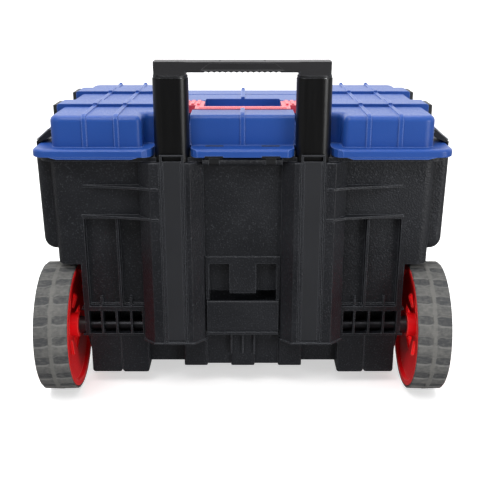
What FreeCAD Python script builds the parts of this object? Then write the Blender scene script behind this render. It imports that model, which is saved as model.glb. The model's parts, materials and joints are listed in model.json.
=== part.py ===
"""Rolling tool box: a black tub on two wheels, a blue hinged lid and a telescopic pull handle.

Millimetres, +Z up. The latch side faces -Y, the wheels and the pull handle are at +Y.
The origin is on the floor, in the middle of the box's footprint.
"""
import FreeCAD, Part
import math
import os
from FreeCAD import Vector

# ---- driving dimensions -------------------------------------------------------------------------
WIDTH = 552.0            # across the two tyres
DEPTH = 420.0            # front latches to the back of the tyres
HEIGHT = 459.0           # floor to the top of the stored grip
WHEEL_R = 90.0
TYRE_W = 46.0
AXLE_R = 7.0
WALL = 3.0

TUB_TOP = 337.5          # top of the tub's lip
TUB_HALF = 253.8         # half width of the tub at the top
TUB_FRONT = -184.0
TUB_REAR = 140.0
TUB_FLOOR = 35.0         # underside of the tub
LIP = 8.0                # how far the lip stands out of the wall
POD_HALF = 274.2         # half width across the bulged side bays, at their top
POD_TAPER = 2.2          # how much less it is at their foot
POD_TOP = 331.0
POD_FLOOR = 204.0
POD_RIB_R = 12.0         # fine ribs along the bays
POD_RIB_PITCH = 13.5

RIM_HALF = 271.3         # half width of the lid's rim
RIM_FRONT = -204.0
RIM_REAR = 160.0
RIM_BOTTOM = 339.0
RIM_TOP = 349.5
LID_TOP = 390.0
LID_HALF = 248.5
LID_FRONT = -184.0
LID_REAR = 145.0
LID_MID_REAR = 130.0

HINGE_Y = 152.0
HINGE_Z = 332.5
HINGE_X = 36.5           # middle of each hinge

TUBE_X = 91.0            # middle of each handle tube
TUBE_Y = 141.0
SLEEVE = (45.5, 28.0, 13.5)      # width, depth and corner radius of the fixed sleeve
MID_TUBE = (40.7, 23.2, 11.1)
INNER_TUBE = (36.1, 18.6, 8.9)
SLEEVE_TOP = 438.0
SLEEVE_FOOT = 128.0
GRIP_BOTTOM = 445.5      # underside of the middle of the grip
GRIP_HALF = 111.0
GRIP_YS = (127.5, 154.5)

CLEAR = 0.3              # between faces that slide past each other
PIN_CLEAR = 0.05         # radial, round pins and shafts

AXLE_Y = DEPTH / 2 - WHEEL_R
AXLE_Z = WHEEL_R
WHEEL_IN = WIDTH / 2 - TYRE_W    # inner face of each wheel
TUB_SIDE_IN = WHEEL_IN - 9.0     # tub wall beside the wheel
WELL_R = 98.0                    # wheel arch

# columns, ladder and the lower hand hold
COLUMN_IN, COLUMN_OUT = 52.0, 136.0      # inner and outer side of each handle column
COLUMN_REAR = 160.0
COLUMN_CHAMFER = 15.5
COLUMN_FOOT = 77.5
COLUMN_TOP = 332.0
STRIP_HALF = 10.8                        # half width of the strip set into each column
GROOVE_STEPS = (13.6, 16.2)              # from the strip's middle to each fine groove
TUNNEL_ZS = (81.0, 116.5)                # axle tunnel between the ladder's bars
TUNNEL_FRONT = 106.0
LADDER_REAR = 131.5
LADDER_OUT = 225.0
LADDER_WEBS = (139.0, 156.0, 176.5, 197.0, 216.5)
GRAB_HALF = 49.0                         # lower grab box between the columns
GRAB_REAR = 146.0
GRAB_ZS = (90.0, 136.0)
WINDOW_TOP = 188.0
WINDOW_XS = (18.2, 46.4)
WINDOW_BACK = 127.0
SLOT_TOP = 145.0                         # over the hand hold, under the middle post
FOOT_BLOCK_BOTTOM = 21.0

# lid
BANDS = ((20.0, 60.0), (-116.0, -72.0))      # front and rear edge of each raised band
BAND_TOP = 393.5
BAND_END = 256.0
BAND_FOOT = 372.0
CENTRE_HALF = 112.0                          # the top is lower between the sleeves
CENTRE_TOP = 389.0
SCOOP = (112.0, -117.0, 380.0)                # half width, rear and floor of the low panel at the front
POCKET = (96.0, -4.0, 84.0, 368.0)           # half width, front, rear and floor of the handle pocket
POCKET_MID = (54.0, -22.0)                   # half width and front of the pocket's middle
CENTRE_END = 67.8                            # half width of the body between the sleeves
NOTCH_XS = (67.8, 115.6)
NOTCH_FOOT = (99.0, 345.0)                   # the sloped wall that clears the sleeves when the lid opens
NOTCH_HEAD = (55.0, 392.0)
RIB_XS = (0.0, 162.0, 203.0)                 # lengthwise ribs
RIB_HALF = 2.7
RIB_RISE = 1.8
LID_EDGE_R = 7.5                             # rounding of the top edges

# latches and carry handle
LATCH_X = 125.0
LATCH_Z = 357.0                       # front latch pin
LATCH_PIN_Y = -200.0
SIDE_PIN = (252.8, 363.5)             # side latch pin, X and Z
SIDE_LATCH_YS = (80.0, 100.0)          # middles of the lugs
SIDE_LEVER_YS = (68.0, 112.0)
BAIL_Y, BAIL_Z = 8.0, 384.0
BAIL_HALF = 92.0

# wheels
HUB_R = 80.0                     # barrel that carries the tyre
FLANGE_R = 85.5                  # the hub's inner flange
BOSS_R = 17.0
BUSH_R = 10.0
HUB_WINDOW = (24.0, 44.0)        # inner and outer radius of the dish's windows

# pull handle
MID_FOOT = 131.0
MID_TOP = 439.0
INNER_FOOT = 142.0
COLLAR_ZS = (SLEEVE_TOP + 0.4, SLEEVE_TOP + 3.6)
GRIP_END = SLEEVE_TOP + 4.0             # underside of the grip's end blocks
LOCK_R = 3.0
LOCK_Z = INNER_FOOT + 4.0
ROD_Y = TUBE_Y - 5.5                    # release rods, in front of the tubes' centrelines
GRIP_SCREW_XS = (-92.0, -62.0, 62.0, 92.0)
GRIP_FLOOR = 2.2                        # thickness of the grip's floor
BUTTON_BAR_Z = HEIGHT - 6.6              # underside of the button's cross bar


# ---- shape helpers ------------------------------------------------------------------------------
def block(xs, ys, zs):
    """A box between two X, two Y and two Z values."""
    x0, x1 = sorted(xs)
    y0, y1 = sorted(ys)
    z0, z1 = sorted(zs)
    return Part.makeBox(x1 - x0, y1 - y0, z1 - z0, Vector(x0, y0, z0))


def edges_along(shape, direction, test=lambda p: True):
    """The straight edges that run along a direction and whose middle passes the test."""
    found = []
    for edge in shape.Edges:
        if len(edge.Vertexes) != 2:
            continue
        a, b = edge.Vertexes[0].Point, edge.Vertexes[1].Point
        run = b.sub(a)
        if run.Length < 1e-6:
            continue
        if abs(run.normalize().dot(direction)) > 0.999 and test(edge.CenterOfMass):
            found.append(edge)
    return found


def soft_block(xs, ys, zs, radius, direction=Vector(0, 0, 1), top=0.0):
    """A box with its four edges along one direction rounded, and its top edges too if asked."""
    solid = block(xs, ys, zs)
    solid = solid.makeFillet(radius, edges_along(solid, direction))
    return round_top(solid, top) if top else solid


def round_top(solid, radius):
    """Rounds every edge of a prism's top face."""
    z = solid.BoundBox.ZMax
    rim = [e for e in solid.Edges if abs(e.BoundBox.ZMin - z) < 1e-4 and abs(e.BoundBox.ZMax - z) < 1e-4]
    return solid.makeFillet(radius, rim)


def round_bottom(solid, radius):
    """Rounds every edge of a prism's bottom face."""
    z = solid.BoundBox.ZMin
    rim = [e for e in solid.Edges if abs(e.BoundBox.ZMin - z) < 1e-4 and abs(e.BoundBox.ZMax - z) < 1e-4]
    return solid.makeFillet(radius, rim)


def prism(points, start, run):
    """A straight prism: points are (u, v) pairs in the plane across the run, which is X, Y or Z."""
    place = {
        "X": lambda u, v: Vector(start, u, v),
        "Y": lambda u, v: Vector(u, start, v),
        "Z": lambda u, v: Vector(u, v, start),
    }
    axis, length = run
    corners = [place[axis](u, v) for u, v in points]
    face = Part.Face(Part.makePolygon(corners + corners[:1]))
    way = {"X": Vector(length, 0, 0), "Y": Vector(0, length, 0), "Z": Vector(0, 0, length)}[axis]
    return face.extrude(way)


def rod(radius, a, b):
    """A round bar from point a to point b."""
    a, b = Vector(*a), Vector(*b)
    way = b.sub(a)
    return Part.makeCylinder(radius, way.Length, a, way)


def rounded_wire(half_x, y0, y1, z, radius):
    """A rounded rectangle, symmetric in X."""
    hx, r = half_x, radius
    k = r * (1 - math.sqrt(0.5))
    corners = [(hx, y0, -1, 1), (hx, y1, -1, -1), (-hx, y1, 1, -1), (-hx, y0, 1, 1)]
    edges = []
    ends = []
    for i, (x, y, sx, sy) in enumerate(corners):
        on_x = Vector(x + sx * r, y, z)
        on_y = Vector(x, y + sy * r, z)
        first, last = (on_x, on_y) if i % 2 == 0 else (on_y, on_x)
        edges.append(Part.Arc(first, Vector(x + sx * k, y + sy * k, z), last).toShape())
        ends.append((first, last))
    lines = [Part.makeLine(ends[i][1], ends[(i + 1) % 4][0]) for i in range(4)]
    ring = []
    for arc, line in zip(edges, lines):
        ring += [arc, line]
    return Part.Wire(ring)


def tapered(bottom, top, radius):
    """A drafted box between two (half width, y0, y1, z) levels."""
    low = rounded_wire(*bottom, radius)
    high = rounded_wire(*top, radius)
    return Part.makeLoft([low, high], True, True)


def mirrored(solid):
    """The same solid on the other side of the box."""
    return solid.mirror(Vector(0, 0, 0), Vector(1, 0, 0))


def both(solid):
    """A solid with its mirror image, as two solids."""
    return [solid, mirrored(solid)]


def fuse(solids):
    """One clean solid out of several that touch or overlap."""
    return solids[0].fuse(solids[1:]).removeSplitter()


def cut(solid, tools):
    return solid.cut(Part.makeCompound(tools)).removeSplitter()


def tube_bar(section, zs, x=TUBE_X):
    """A solid bar with the section of a handle tube, standing on the tube's centreline."""
    width, depth, radius = section
    return soft_block((x - width / 2, x + width / 2), (TUBE_Y - depth / 2, TUBE_Y + depth / 2), zs, radius)


def shrink(section, by):
    """A handle tube's section with every side moved in."""
    width, depth, radius = section
    return (width - 2 * by, depth - 2 * by, max(radius - by, 1.0))


def pipe(section, thickness, zs):
    low, high = zs
    return tube_bar(section, zs).cut(tube_bar(shrink(section, thickness), (low - 1, high + 1)))


# ---- tub ----------------------------------------------------------------------------------------
def tub_walls(inset):
    """The drafted tub block, each wall moved in by inset."""
    bottom = (TUB_HALF - 2.4 - inset, TUB_FRONT + 12 + inset, 132.0 - inset, TUB_FLOOR + inset)
    top = (TUB_HALF - inset, TUB_FRONT + inset, TUB_REAR - inset, TUB_TOP + (0 if inset == 0 else 1))
    return tapered(bottom, top, 14.0 - min(inset, 4.0))


def pod(inset):
    """A bulged side bay from the arch to the front, on one side."""
    low, high = POD_FLOOR + inset, POD_TOP - inset
    inner = TUB_HALF - 16 - 2 * inset
    side = [(inner, low), (POD_HALF - POD_TAPER - inset, low), (POD_HALF - inset, high), (inner, high)]
    body = prism(side, -176 + inset, ("Y", 300 - 2 * inset))
    keel = edges_along(body, Vector(0, 1, 0), lambda p: p.x > 260 and p.z < 260)
    body = body.makeFillet(16.0 - inset, keel)
    return body.makeFillet(9.0 - inset, edges_along(body, Vector(0, 0, 1), lambda p: p.x > 260))


def pod_ribs():
    """Fine ribs along one side bay."""
    ribs = []
    for i in range(8):
        z = POD_FLOOR + 17 + i * POD_RIB_PITCH
        wall = POD_HALF - POD_TAPER * (POD_TOP - z) / (POD_TOP - POD_FLOOR)
        x = wall - POD_RIB_R + 0.9
        ribs.append(rod(POD_RIB_R, (x, -164, z), (x, 112, z)))
    return ribs


def wheel_bay(grow):
    """The space round one wheel, with its walls moved out by grow."""
    x0 = TUB_SIDE_IN - grow
    arch = Part.makeCylinder(WELL_R + grow, 80, Vector(x0, AXLE_Y, AXLE_Z), Vector(1, 0, 0))
    side = [(x0, AXLE_Z), (x0 + 80, AXLE_Z), (x0 + 80, -5), (x0 - 10, -5), (x0 - 8, 30), (x0, 76)]
    below = prism(side, AXLE_Y - WELL_R - grow, ("Y", 2 * WELL_R + grow))
    return [arch, below]


def axle_tunnel(grow):
    """The slot across the back that the axle lies in."""
    half = TUB_SIDE_IN + 1
    zs = (TUNNEL_ZS[0] - grow, TUNNEL_ZS[1] + grow)
    return block((-half, half), (TUNNEL_FRONT - grow, 165), zs)


def handle_column():
    """The eight-sided housing round one sleeve."""
    inner, outer, c = COLUMN_IN, COLUMN_OUT, COLUMN_CHAMFER
    wall = 120.0
    plan = [(inner, wall), (inner, COLUMN_REAR - c), (inner + c, COLUMN_REAR),
            (outer - c, COLUMN_REAR), (outer, COLUMN_REAR - c), (outer, wall)]
    body = prism(plan, COLUMN_FOOT, ("Z", COLUMN_TOP - COLUMN_FOOT))
    rear_edges = edges_along(body, Vector(0, 0, 1), lambda p: p.y > 140)
    body = round_top(body.makeFillet(1.5, rear_edges), 1.0)
    flange = [(x + (1.3 if x > TUBE_X else -1.3), y + (1.2 if y > wall else 0)) for x, y in plan]
    return body.fuse(prism(flange, COLUMN_FOOT, ("Z", 2.2)))


def column_grooves():
    """Two pairs of fine grooves down the back of one column, and the seat of its strip."""
    tools = []
    for side in (-1, 1):
        for step in GROOVE_STEPS:
            x = TUBE_X + side * step
            tools.append(block((x - 0.6, x + 0.6), (COLUMN_REAR - 1.2, 165), (COLUMN_FOOT + 4, 340)))
    seat = block((TUBE_X - STRIP_HALF - 0.2, TUBE_X + STRIP_HALF + 0.2), (COLUMN_REAR - 1.7, 165),
                 (COLUMN_FOOT + 3, 340))
    return tools + [seat]


def socket_block():
    """The solid inside the tub that one sleeve stands in, up to the lip."""
    return block((64.5, 118), (101.5, 142), (TUNNEL_ZS[1] + 1, TUB_TOP))


def wall_panels():
    """Shallow bays between the upright ribs at each side of the back."""
    tools = []
    for xs in ((136.5, 167.0), (170.5, 213.0)):
        bay = block(xs, (125.5, 145), (TUNNEL_ZS[1] + 7, 251.5))
        tools += both(bay)
    return tools


def cross_ribs():
    """Ribs across the back that deepen towards the columns."""
    ribs = []
    for z in (297.0, 256.0):
        plan = [(215, 132), (215, 138.5), (136, 153.0), (118.5, 160.5), (110, 160.5), (110, 132)]
        rib = prism(plan, z - 1.6, ("Z", 3.2))
        ribs += both(rib)
    return ribs


def ladder():
    """Bars and webs that carry the axle, on one side."""
    zs = (TUNNEL_ZS[0] - 3, TUNNEL_ZS[1] + 3)
    ys = (TUNNEL_FRONT - 1, LADDER_REAR)
    bars = ((zs[0], TUNNEL_ZS[0]), (TUNNEL_ZS[1], zs[1]))
    solids = [block((137, LADDER_OUT), ys, bar) for bar in bars]
    for x in LADDER_WEBS:
        solids.append(block((x - 1.4, x + 1.4), ys, (zs[0], zs[1])))
    for x in (156.0, 197.0):
        solids.append(block((x - 1.3, x + 1.3), (120, 131.5), (zs[1] - 1, zs[1] + 17)))
    solids.append(block((137, 216), (118, 127.6), (zs[1] + 2.5, zs[1] + 6.5)))
    return solids


def foot_recess(grow):
    """The set-back wall under the ladder, on one side."""
    return block((50.5, 230), (121 - grow, 170), (0, TUNNEL_ZS[0] + grow))


def tub_foot_blocks():
    """The deep blocks under the ladder, on one side."""
    solids = [block((140, 208), (60, 129.6), (24, 80))]
    for x0, x1, y in ((134.0, 172.0, 131.0), (172.8, 215.0, 130.4)):
        solids.append(soft_block((x0, x1), (60, y), (FOOT_BLOCK_BOTTOM, 76), 4, Vector(0, 1, 0)))
        solids.append(block((x0, x1), (60, y), (50, 80)))
    return solids


def rear_skirt():
    """Raised panels along the lower back edge, with fine ribs under the grab box."""
    solids = []
    for x0, x1 in ((-16.6, 16.6), (50.0, 83.0), (-83.0, -50.0)):
        solids.append(soft_block((x0, x1), (100, 136.5), (TUB_FLOOR - 1, 86), 3))
    for x in (-16.0, 0.0, 16.0):
        solids.append(block((x - 0.9, x + 0.9), (130, 140.0), (54, GRAB_ZS[0] + 1)))
    return solids


def grab_box():
    """The lower hand hold: a box front, a lip under it and a middle post over it."""
    x = GRAB_HALF
    front = soft_block((-x, x), (131, GRAB_REAR), GRAB_ZS, 2.0, Vector(1, 0, 0))
    lip = block((-x, x), (131, GRAB_REAR + 2.5), (GRAB_ZS[0] - 3, GRAB_ZS[0] + 0.5))
    panel = block((-50.5, 50.5), (122, 138.7), (GRAB_ZS[1] - 1, WINDOW_TOP + 10))
    return [front, lip, panel]


def tub_lip():
    """The flange round the mouth."""
    z0 = TUB_TOP - 5.5
    outer = rounded_wire(TUB_HALF + 11, TUB_FRONT - LIP - 6, 149.5, z0, 20)
    return Part.Face(outer).extrude(Vector(0, 0, 5.5))


def hinge_bar():
    """The barrel on the tub's lip that holds the two hinge pins."""
    half = 51.5
    barrel = Part.makeCylinder(4.8, 2 * half, Vector(-half, HINGE_Y, HINGE_Z), Vector(1, 0, 0))
    return [barrel, block((-half, half), (138, HINGE_Y), (HINGE_Z - 4.8, HINGE_Z + 4.8))]


def front_details():
    """Ribs, catches and a framed panel on the front wall."""
    solids = []
    for x in (-205, -165, 165, 205):
        side = [(TUB_FRONT + 20, 40), (TUB_FRONT + 4, 40), (TUB_FRONT - 6, 322), (TUB_FRONT + 12, 322)]
        solids.append(prism(side, x - 4, ("X", 8)))
    for x in (-LATCH_X, LATCH_X):
        ys = (TUB_FRONT - 12.5, TUB_FRONT + 6)
        solids.append(soft_block((x - 27, x + 27), ys, (296, 326), 3, Vector(0, 1, 0)))
    frame = soft_block((-105, 105), (TUB_FRONT - 5, TUB_FRONT + 14), (70, 270), 14, Vector(0, 1, 0))
    window = soft_block((-95, 95), (TUB_FRONT - 8, TUB_FRONT + 20), (80, 260), 9, Vector(0, 1, 0))
    solids.append(frame.cut(window))
    return solids


def front_legs():
    """The two legs that the box stands on at the front."""
    leg = tapered((27, -168, -128, 6), (31, -174, -122, 40), 6)
    leg.translate(Vector(170, 0, 0))
    return both(leg)


def make_tub():
    outer = [tub_walls(0), tub_lip()] + both(pod(0))
    shell = fuse(outer)
    voids = []
    for bay in wheel_bay(0):
        voids += both(bay)
    shell = cut(shell, voids + wall_panels() + both(foot_recess(0)))
    added = [handle_column(), socket_block()] + ladder() + pod_ribs()
    solids = []
    for s in added + tub_foot_blocks():
        solids += both(s)
    solids += rear_skirt() + grab_box() + cross_ribs() + hinge_bar() + front_details() + front_legs()
    shell = fuse([shell] + solids)

    hollow = tub_walls(WALL).fuse(both(pod(WALL))).removeSplitter()
    half = GRAB_HALF + WALL
    kept = [axle_tunnel(WALL), block((-half, half), (108, 170), (60, WINDOW_TOP + WALL))]
    for bay in wheel_bay(WALL):
        kept += both(bay)
    kept += both(socket_block())
    kept += both(block((133, 216.5), (122, 170), (118, 256)))
    kept += both(foot_recess(WALL))
    kept += both(block((52, 136), (117, 170), (20, 340)))
    hollow = cut(hollow, kept)

    tools = [hollow]
    tools += both(soft_block(WINDOW_XS, (WINDOW_BACK, 170), (GRAB_ZS[1], WINDOW_TOP), 2.0, Vector(0, 1, 0)))
    hold = WINDOW_XS[1]
    tools.append(block((-hold, hold), (111, 170), (GRAB_ZS[1], SLOT_TOP)))
    tools.append(block((-hold, hold), (111, GRAB_REAR - 4), (GRAB_ZS[1] - 30, GRAB_ZS[1] + 0.5)))
    for side in both(tube_bar((SLEEVE[0] + 0.2, SLEEVE[1] + 0.2, SLEEVE[2]), (SLEEVE_FOOT - 1, 345))):
        tools.append(side)
    for tool in column_grooves():
        tools += both(tool)
    # the axle's tunnel opens between the ladder's webs, and through them as a bore
    cells = []
    for a, b in zip(LADDER_WEBS, LADDER_WEBS[1:]):
        cells.append(block((a + 1.4, b - 1.4), (TUNNEL_FRONT, 140), TUNNEL_ZS))
    for c in cells:
        tools += both(c)
    tools.append(rod(AXLE_R + PIN_CLEAR, (-240, AXLE_Y, AXLE_Z), (240, AXLE_Y, AXLE_Z)))
    tools += both(rod(13.0, (TUB_SIDE_IN, AXLE_Y, AXLE_Z), (WHEEL_IN + 4, AXLE_Y, AXLE_Z)))
    for side in (-1, 1):
        x = side * HINGE_X
        tools.append(rod(2.0 + PIN_CLEAR, (x - 14, HINGE_Y, HINGE_Z), (x + 14, HINGE_Y, HINGE_Z)))
        tools.append(block((x - 7, x + 7), (146.5, 165), (326, 345)))
    return cut(shell, tools)


# ---- lid ----------------------------------------------------------------------------------------
def lid_plan(inset):
    """The stepped outline of the lid's body."""
    half, front, rear = LID_HALF - inset, LID_FRONT + inset, LID_REAR - inset
    step_out, step_in = 130.0 + inset, CENTRE_END - inset
    mid_rear, tube_rear = LID_MID_REAR - inset, 113.0 - inset
    right = [(half, front), (half, rear), (step_out, rear), (step_out, tube_rear), (step_in, tube_rear),
             (step_in, mid_rear)]
    left = [(-x, y) for x, y in reversed(right)]
    return right + left


def lid_body(inset, zs):
    body = prism(lid_plan(inset), zs[0], ("Z", zs[1] - zs[0]))
    uprights = edges_along(body, Vector(0, 0, 1))
    corner = lambda p: abs(p.x) > 200
    body = body.makeFillet(14.0 - inset, [e for e in uprights if corner(e.CenterOfMass)])
    steps = edges_along(body, Vector(0, 0, 1), lambda p: 120 < abs(p.x) < 140)
    body = body.makeFillet(8.0, steps)
    inner = edges_along(body, Vector(0, 0, 1), lambda p: abs(p.x) < 75)
    return body.makeFillet(1.0, inner)


def centre_end():
    """The full-width back edge of the body between the sleeves."""
    end = block((-CENTRE_END, CENTRE_END), (LID_MID_REAR - 40, LID_MID_REAR), (RIM_BOTTOM + 4, LID_TOP))
    ridge = edges_along(end, Vector(1, 0, 0), lambda p: p.y > LID_MID_REAR - 5 and p.z > LID_TOP - 5)
    return end.makeFillet(LID_EDGE_R, ridge)


def notch(grow):
    """The relief in front of one sleeve, its sloped wall moved forward by grow."""
    xs = (NOTCH_XS[0] - grow, NOTCH_XS[1] + grow)
    (y0, z0), (y1, z1) = NOTCH_FOOT, NOTCH_HEAD
    slope = math.hypot(y0 - y1, z1 - z0)
    dy = grow * slope / (z1 - z0)
    rise = 12.0
    y2 = y1 - rise * (y0 - y1) / (z1 - z0)
    side = [(y0 - dy, z0 - grow), (y2 - dy, z1 + rise), (172, z1 + rise), (172, z0 - grow)]
    return prism(side, xs[0], ("X", xs[1] - xs[0]))


def band(ys):
    """A raised band over the lid that stands out at both sides."""
    solid = block((-BAND_END, BAND_END), ys, (BAND_FOOT, BAND_TOP))
    return solid.makeFillet(4.0, edges_along(solid, Vector(0, 1, 0)))


def band_hollow(ys):
    half = LID_HALF - 2 * WALL
    return block((-half, half), (ys[0] + WALL, ys[1] - WALL), (RIM_BOTTOM, BAND_TOP - WALL))


def lid_rim():
    rim = Part.Face(rounded_wire(RIM_HALF, RIM_FRONT, RIM_REAR, RIM_BOTTOM, 18)).extrude(
        Vector(0, 0, RIM_TOP - RIM_BOTTOM))
    return round_bottom(round_top(rim, 4.0), 1.5)


def rim_skirts():
    """The deeper back edge of the rim, outside the columns."""
    low = RIM_BOTTOM - 2.4
    side = [(128, RIM_BOTTOM + 2), (142, low), (238, low), (256, RIM_BOTTOM + 2)]
    return both(prism(side, RIM_REAR - 7, ("Y", 6.4)))


def rim_gap():
    """The gap in the rim's back edge round one sleeve."""
    plan = [(57.5, 172), (57.5, 160.5), (63, 155.5), (66.8, 147), (66.8, 104), (115.6, 104), (115.6, 141),
            (118, 151), (122.5, 157), (130, 160.5), (130, 172)]
    return prism(plan, RIM_BOTTOM - 3, ("Z", 20))


def lid_ribs():
    """Low lengthwise ribs over the top and down both ends, with a bead at the front."""
    grown = round_top(lid_body(-RIB_RISE, (RIM_TOP - 3, LID_TOP + RIB_RISE)), LID_EDGE_R + 1)
    solids = []
    for x in RIB_XS:
        front = -250 if x else BANDS[1][0] + 3
        for cx in ((-x, x) if x else (0,)):
            slab = block((cx - RIB_HALF, cx + RIB_HALF), (front, 250), (RIM_TOP - 3, 400))
            solids.append(grown.common(slab))
            tip = LID_FRONT + 5 if x else BANDS[1][0] + 4
            solids.append(Part.makeSphere(2.9, Vector(cx, tip, LID_TOP + 0.9)))
            for y0, y1 in (BANDS if x else ()):
                zs = (LID_TOP - 2, BAND_TOP + 1.2)
                solids.append(block((cx - RIB_HALF, cx + RIB_HALF), (y0 - 0.6, y1 + 0.6), zs))
    return solids


def seal_ring(grow):
    """The seal's path along the front and both sides of the rim."""
    zs = (RIM_BOTTOM - 1.2, RIM_BOTTOM + 2.2 + grow)
    bars = [block((-257 - grow, 257 + grow), (-197 - grow, -192 + grow), zs)]
    bars += both(block((252 - grow, 257 + grow), (-197 - grow, 128 + grow), zs))
    return fuse(bars)


def front_latch_lugs():
    """Lugs on the rim that hold the front latches' pins."""
    lugs = []
    for side in (-1, 1):
        for dx in (-21, 21):
            x = side * LATCH_X + dx
            y, z = LATCH_PIN_Y, LATCH_Z
            lug = prism([(-190, RIM_TOP - 2), (y - 3, RIM_TOP - 2), (y - 2.6, z + 2.4), (y - 1.2, z + 3.6),
                         (y + 4, z + 3.6), (-188, RIM_TOP + 1)], x - 3, ("X", 6))
            lugs.append(lug)
    return lugs


def side_latch_lugs():
    """Lugs on the lid's sides that hold the side latches' pins."""
    lugs = []
    for y in SIDE_LATCH_YS:
        px, pz = SIDE_PIN
        face = [(LID_HALF - 2, RIM_TOP - 1), (LID_HALF + 4, RIM_TOP - 1), (px + 3.5, pz - 4),
                (px + 2.6, pz + 2.8), (LID_HALF - 2, pz + 3.5)]
        lugs += both(prism(face, y - 2.5, ("Y", 5)))
    return lugs


def make_lid():
    body = round_top(lid_body(0, (RIM_BOTTOM + 4, LID_TOP)), LID_EDGE_R)
    valleys = []                      # a shallow valley beside each band
    for y0, y1 in BANDS:
        for a, b in ((y0 - 5.5, y0 + 0.5), (y1 - 0.5, y1 + 5.5)):
            valleys.append(block((-270, 270), (a, b), (LID_TOP - 2.5, LID_TOP + 5)))
    body = cut(body, valleys)
    body = fuse([body, centre_end()] + [band(ys) for ys in BANDS])
    scoop = soft_block((-SCOOP[0], SCOOP[0]), (-220, SCOOP[1]), (SCOOP[2], 405), 6)
    body = cut(body, [block((-CENTRE_HALF, CENTRE_HALF), (-250, 200), (CENTRE_TOP, 400)), scoop])
    outer = fuse([lid_rim(), body] + rim_skirts() + lid_ribs() + front_latch_lugs() + side_latch_lugs())

    half, y0, y1, floor = POCKET
    mid_half, mid_front = POCKET_MID
    pocket = soft_block((-half, half), (y0, y1), (floor, 405), 6)
    pocket = pocket.fuse(soft_block((-mid_half, mid_half), (mid_front, y1), (floor, 405), 5))
    hollow = lid_body(WALL, (RIM_BOTTOM - 5, LID_TOP - WALL - 1)).fuse([band_hollow(ys) for ys in BANDS])
    kept = [block((-half - WALL, half + WALL), (y0 - WALL, y1 + WALL), (floor - WALL, 400)),
            block((-mid_half - WALL, mid_half + WALL), (mid_front - WALL, y1), (floor - WALL, 400)),
            block((-SCOOP[0] - WALL, SCOOP[0] + WALL), (-250, SCOOP[1] + WALL), (SCOOP[2] - WALL, 400)),
            block((-CENTRE_HALF - WALL, CENTRE_HALF + WALL), (-250, 200), (CENTRE_TOP - WALL, 400))]
    kept += both(notch(WALL))
    hollow = hollow.cut(Part.makeCompound(kept))
    tools = [hollow, pocket, seal_ring(0.0)] + both(notch(0)) + both(rim_gap())
    for side in (-1, 1):
        x = side * HINGE_X
        tools.append(block((x - 12, x + 12), (132.5, 137.5), (330, 352)))
        tools.append(block((x - 12, x + 12), (132.5, 161), (330, RIM_BOTTOM + 2.2)))
        lx = side * LATCH_X
        tools.append(rod(2.0, (lx - 27, LATCH_PIN_Y, LATCH_Z), (lx + 27, LATCH_PIN_Y, LATCH_Z)))
        tools.append(rod(1.6, (side * SIDE_PIN[0], 60, SIDE_PIN[1]), (side * SIDE_PIN[0], 120, SIDE_PIN[1])))
        tools.append(rod(2.0, (side * 78, BAIL_Y, BAIL_Z), (side * 101, BAIL_Y, BAIL_Z)))
    return cut(outer, tools)


def make_hinge_clip(side):
    """The clip that hooks through the rim's slot and turns on the hinge pin."""
    x = side * HINGE_X
    plate = block((x - 11.7, x + 11.7), (133, 158), (RIM_BOTTOM - 0.8, RIM_BOTTOM + 2.2))
    hook = block((x - 11.7, x + 11.7), (133, 137), (RIM_BOTTOM, RIM_TOP + 0.6))
    drop = block((x - 6.7, x + 6.7), (150.3, HINGE_Y + 4.5), (HINGE_Z, RIM_BOTTOM))
    knuckle = rod(4.5, (x - 6.7, HINGE_Y, HINGE_Z), (x + 6.7, HINGE_Y, HINGE_Z))
    clip = fuse([plate, hook, drop, knuckle])
    return clip.cut(rod(2.0 + PIN_CLEAR, (x - 10, HINGE_Y, HINGE_Z), (x + 10, HINGE_Y, HINGE_Z)))


def make_hinge_pins():
    return both(rod(2.0, (HINGE_X - 12, HINGE_Y, HINGE_Z), (HINGE_X + 12, HINGE_Y, HINGE_Z)))


def make_end_caps():
    """The black caps on the ends of the raised bands."""
    caps = []
    for y0, y1 in BANDS:
        cap = block((BAND_END, BAND_END + 5.5), (y0 + 1, y1 - 1), (BAND_FOOT + 1, BAND_TOP - 1.5))
        cap = cap.makeFillet(2.0, edges_along(cap, Vector(0, 1, 0), lambda p: p.x > BAND_END + 3)
                             + edges_along(cap, Vector(0, 0, 1), lambda p: p.x > BAND_END + 3))
        caps += both(cap)
    return caps


# ---- carry handle -------------------------------------------------------------------------------
def make_carry_handle():
    """A flat bail: a bar at the back, wide arms and a knuckle at each end of its pivot."""
    wings = soft_block((-BAIL_HALF, BAIL_HALF), (BAIL_Y, 46.0), (378.5, 389.5), 5)
    plate = soft_block((-65.5, 65.5), (BAIL_Y, 80.0), (378.5, 389.5), 7)
    opening = soft_block((-54, 54), (-6, 62.0), (370, 400), 8)
    knuckles = []
    for side in (-1, 1):
        knuckles.append(rod(6.2, (side * 58, BAIL_Y, BAIL_Z), (side * BAIL_HALF, BAIL_Y, BAIL_Z)))
        for x in (62, 70, 78, 86):
            knuckles.append(block((side * (x - 2), side * (x + 2)), (BAIL_Y, 44), (386, 391.5)))
    bar = soft_block((-60, 60), (63.0, 79.0), (377.0, 391.2), 5.0, Vector(1, 0, 0))
    bail = fuse([wings.fuse(plate).cut(opening)] + knuckles + [bar])
    return bail.cut(rod(2.0 + PIN_CLEAR, (-120, BAIL_Y, BAIL_Z), (120, BAIL_Y, BAIL_Z)))


def make_carry_pins():
    return both(rod(2.0, (79, BAIL_Y, BAIL_Z), (100.5, BAIL_Y, BAIL_Z)))


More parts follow.
